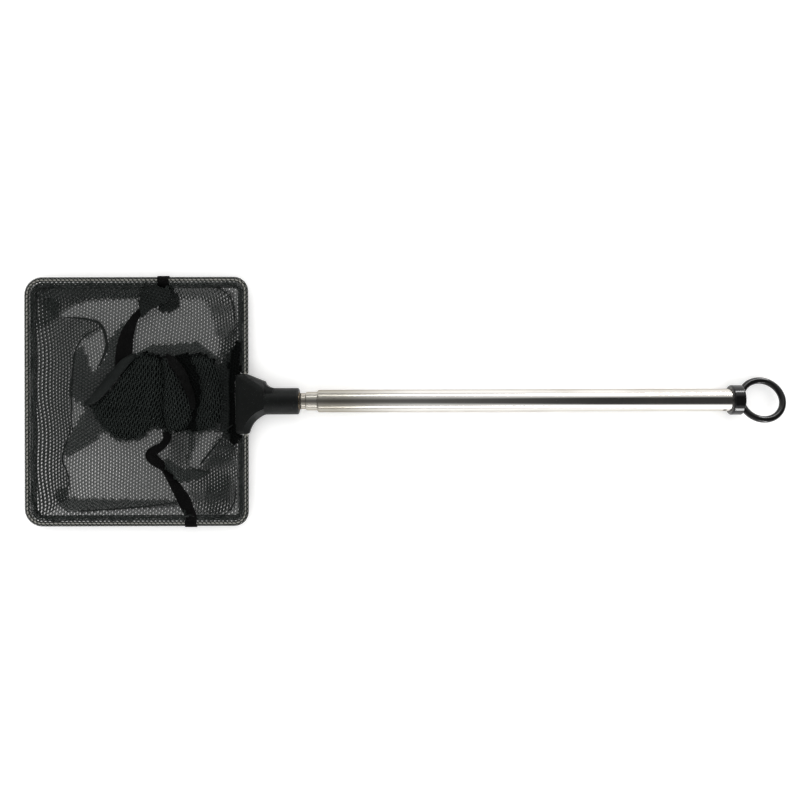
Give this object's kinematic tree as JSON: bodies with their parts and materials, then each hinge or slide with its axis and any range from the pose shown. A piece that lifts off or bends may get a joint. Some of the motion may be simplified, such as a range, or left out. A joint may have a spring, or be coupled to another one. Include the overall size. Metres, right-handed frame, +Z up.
{
  "type": "aquarium fish net",
  "caption": "Rectangular aquarium net of black mesh on a steel wire hoop, with a telescopic stainless handle and a hanging ring.",
  "frame": {"origin": "on the table, under the middle of the whole net with its handle pushed in", "axes": "+X along the handle towards the hanging ring, +Y to the left of the handle, +Z up from the table"},
  "size_m": [0.4567, 0.1508, 0.018],
  "materials": {
    "wire_steel": "drawn wire, bright",
    "net_mesh": "black knitted nylon net",
    "seam_tape": "black woven binding tape",
    "matt_black": "matt, lightly textured",
    "insert_brass": "turned",
    "washer_rubber": "matt",
    "stud_steel": "turned",
    "tube_steel": "stainless, polished along its length",
    "sleeve_bronze": "rolled strip",
    "gloss_black": "gloss"
  },
  "bodies": {
    "handle": {"outer_tube": "tube_steel", "end_cap": "gloss_black"},
    "middle_slider": {"middle_friction_sleeve": "sleeve_bronze"},
    "middle": {"middle_tube": "tube_steel"},
    "inner_slider": {"inner_friction_sleeve": "sleeve_bronze"},
    "net_head": {"inner_tube": "tube_steel", "stud_plug": "stud_steel", "neck_washer": "washer_rubber", "thread_insert": "insert_brass", "socket_barrel": "matt_black", "yoke": "matt_black", "hoop_wire": "wire_steel", "hem_casing": "net_mesh", "far_panel": "net_mesh", "near_panel": "net_mesh", "net_toe": "net_mesh", "left_seam_tape": "seam_tape", "right_seam_tape": "seam_tape"}
  },
  "joints": [
    {"name": "middle_slide", "type": "slide", "parent": "handle", "child": "middle_slider", "axis": [-1, 0, 0], "range_m": [0, 0.203]},
    {"name": "middle_turn", "type": "hinge", "parent": "middle_slider", "child": "middle", "pos_m": [0, 0, 0.009], "axis": [1, 0, 0], "continuous": true},
    {"name": "inner_slide", "type": "slide", "parent": "middle", "child": "inner_slider", "axis": [-1, 0, 0], "range_m": [0, 0.206]},
    {"name": "head_turn", "type": "hinge", "parent": "inner_slider", "child": "net_head", "pos_m": [0, 0, 0.009], "axis": [1, 0, 0], "continuous": true}
  ]
}
